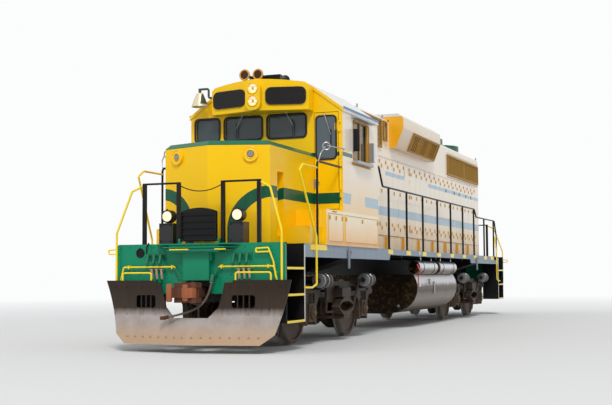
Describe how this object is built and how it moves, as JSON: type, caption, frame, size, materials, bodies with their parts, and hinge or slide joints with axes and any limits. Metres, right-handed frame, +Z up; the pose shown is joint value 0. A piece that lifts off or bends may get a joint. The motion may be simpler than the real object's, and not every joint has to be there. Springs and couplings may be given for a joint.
{
  "type": "four-axle diesel road switcher locomotive",
  "caption": "Diesel locomotive with low nose, cab, long hood, walkways, snow plough and two swivelling bogies",
  "frame": {"origin": "midway between the bogies on the centre line, at the lowest point of the wheel flanges", "axes": "+X forward past the low nose, +Y to the locomotive's left, +Z up"},
  "size_m": [18.034, 3.13, 4.7898],
  "materials": {
    "black_steel": "satin",
    "wheel_steel": "matt, polished tread",
    "green_paint": "gloss",
    "yellow_paint": "gloss",
    "cream_paint": "gloss",
    "ochre_paint": "satin",
    "blade_steel": "worn",
    "rust_iron": "rusty",
    "silver_paint": "satin",
    "glass": "tinted",
    "lens": "clear",
    "brass": "worn",
    "rubber": "matt",
    "interior": "matt"
  },
  "bodies": {
    "underframe_and_body": {"underframe": "black_steel", "pilots": "green_paint", "step_wells": "black_steel", "snow_plough": "blade_steel", "fuel_tank": "silver_paint", "air_reservoirs": "silver_paint", "equipment_boxes": "yellow_paint", "nose": "yellow_paint", "hood": "cream_paint", "engine_block": "green_paint", "cab_roof": "yellow_paint", "cab_sides": "cream_paint", "cab_front_wall": "yellow_paint", "cab_rear_wall": "yellow_paint", "cab_glass": "glass", "cab_interior": "interior", "visor": "yellow_paint", "lamp_housings": "yellow_paint", "lamp_lenses": "lens", "horns": "black_steel", "bell": "brass", "hood_doors": "cream_paint", "brake_housing": "yellow_paint", "side_grilles": "ochre_paint", "fan_housings": "green_paint", "handrails": "black_steel", "grab_rails": "yellow_paint", "end_fittings": "yellow_paint", "side_window_fittings": "ochre_paint", "brake_hose": "rubber", "glad_hand": "rust_iron"},
    "bogie_front": {"bogie_frame_front": "black_steel", "bogie_suspension_front": "black_steel", "traction_motors_front": "black_steel"},
    "wheelset_1": {"wheelset_1": "wheel_steel"},
    "wheelset_2": {"wheelset_2": "wheel_steel"},
    "coupler_front": {"coupler_front": "rust_iron"},
    "knuckle_front": {"knuckle_front": "rust_iron"},
    "drop_step_front": {"drop_step_front": "black_steel"},
    "bogie_rear": {"bogie_frame_rear": "black_steel", "bogie_suspension_rear": "black_steel", "traction_motors_rear": "black_steel"},
    "wheelset_3": {"wheelset_3": "wheel_steel"},
    "wheelset_4": {"wheelset_4": "wheel_steel"},
    "coupler_rear": {"coupler_rear": "rust_iron"},
    "knuckle_rear": {"knuckle_rear": "rust_iron"},
    "drop_step_rear": {"drop_step_rear": "black_steel"},
    "radiator_fan_front": {"radiator_fan_front": "black_steel"},
    "radiator_fan_rear": {"radiator_fan_rear": "black_steel"},
    "brake_fan": {"brake_fan": "black_steel"},
    "cab_door_front": {"cab_door_front": "yellow_paint"},
    "cab_door_rear": {"cab_door_rear": "yellow_paint"},
    "engine_door_left": {"engine_door_left": "cream_paint"},
    "engine_door_right": {"engine_door_right": "cream_paint"}
  },
  "joints": [
    {"name": "bogie_front_swivel", "type": "hinge", "parent": "underframe_and_body", "child": "bogie_front", "pos_m": [5.1815, 0, 1.12], "axis": [0, 0, 1], "range_deg": [-6.5, 6.5]},
    {"name": "wheelset_1_spin", "type": "hinge", "parent": "bogie_front", "child": "wheelset_1", "pos_m": [6.553, 0, 0.533], "axis": [0, 1, 0], "continuous": true},
    {"name": "wheelset_2_spin", "type": "hinge", "parent": "bogie_front", "child": "wheelset_2", "pos_m": [3.81, 0, 0.533], "axis": [0, 1, 0], "continuous": true},
    {"name": "coupler_front_swing", "type": "hinge", "parent": "underframe_and_body", "child": "coupler_front", "pos_m": [8.02, 0, 0.901], "axis": [0, 0, 1], "range_deg": [-6, 6]},
    {"name": "knuckle_front_open", "type": "hinge", "parent": "coupler_front", "child": "knuckle_front", "pos_m": [8.88, 0.135, 0.901], "axis": [0, 0, 1], "range_deg": [0, 50]},
    {"name": "drop_step_front_fold", "type": "hinge", "parent": "underframe_and_body", "child": "drop_step_front", "pos_m": [8.402, 0, 1.695], "axis": [0, 1, 0], "range_deg": [0, 90]},
    {"name": "bogie_rear_swivel", "type": "hinge", "parent": "underframe_and_body", "child": "bogie_rear", "pos_m": [-5.1815, 0, 1.12], "axis": [0, 0, 1], "range_deg": [-6.5, 6.5]},
    {"name": "wheelset_3_spin", "type": "hinge", "parent": "bogie_rear", "child": "wheelset_3", "pos_m": [-3.81, 0, 0.533], "axis": [0, 1, 0], "continuous": true},
    {"name": "wheelset_4_spin", "type": "hinge", "parent": "bogie_rear", "child": "wheelset_4", "pos_m": [-6.553, 0, 0.533], "axis": [0, 1, 0], "continuous": true},
    {"name": "coupler_rear_swing", "type": "hinge", "parent": "underframe_and_body", "child": "coupler_rear", "pos_m": [-8.02, 0, 0.901], "axis": [0, 0, 1], "range_deg": [-6, 6]},
    {"name": "knuckle_rear_open", "type": "hinge", "parent": "coupler_rear", "child": "knuckle_rear", "pos_m": [-8.88, -0.135, 0.901], "axis": [0, 0, 1], "range_deg": [0, 50]},
    {"name": "drop_step_rear_fold", "type": "hinge", "parent": "underframe_and_body", "child": "drop_step_rear", "pos_m": [-8.402, 0, 1.695], "axis": [0, -1, 0], "range_deg": [0, 90]},
    {"name": "radiator_fan_front_spin", "type": "hinge", "parent": "underframe_and_body", "child": "radiator_fan_front", "pos_m": [-4.42, 0, 4.6], "axis": [0, 0, 1], "continuous": true},
    {"name": "radiator_fan_rear_spin", "type": "hinge", "parent": "underframe_and_body", "child": "radiator_fan_rear", "pos_m": [-6.25, 0, 4.6], "axis": [0, 0, 1], "continuous": true},
    {"name": "brake_fan_spin", "type": "hinge", "parent": "underframe_and_body", "child": "brake_fan", "pos_m": [-0.26, 0, 4.65], "axis": [0, 0, 1], "continuous": true},
    {"name": "cab_door_front_swing", "type": "hinge", "parent": "underframe_and_body", "child": "cab_door_front", "pos_m": [5.8633, 1.375, 3.1], "axis": [0, 0, 1], "range_deg": [0, 90]},
    {"name": "cab_door_rear_swing", "type": "hinge", "parent": "underframe_and_body", "child": "cab_door_rear", "pos_m": [3.8367, -0.975, 3.1], "axis": [0, 0, -1], "range_deg": [0, 90]},
    {"name": "engine_door_left_swing", "type": "hinge", "parent": "underframe_and_body", "child": "engine_door_left", "pos_m": [0.205, 0.9483, 2.77], "axis": [0, 0, -1], "range_deg": [0, 150]},
    {"name": "engine_door_right_swing", "type": "hinge", "parent": "underframe_and_body", "child": "engine_door_right", "pos_m": [0.205, -0.9483, 2.77], "axis": [0, 0, 1], "range_deg": [0, 150]}
  ]
}
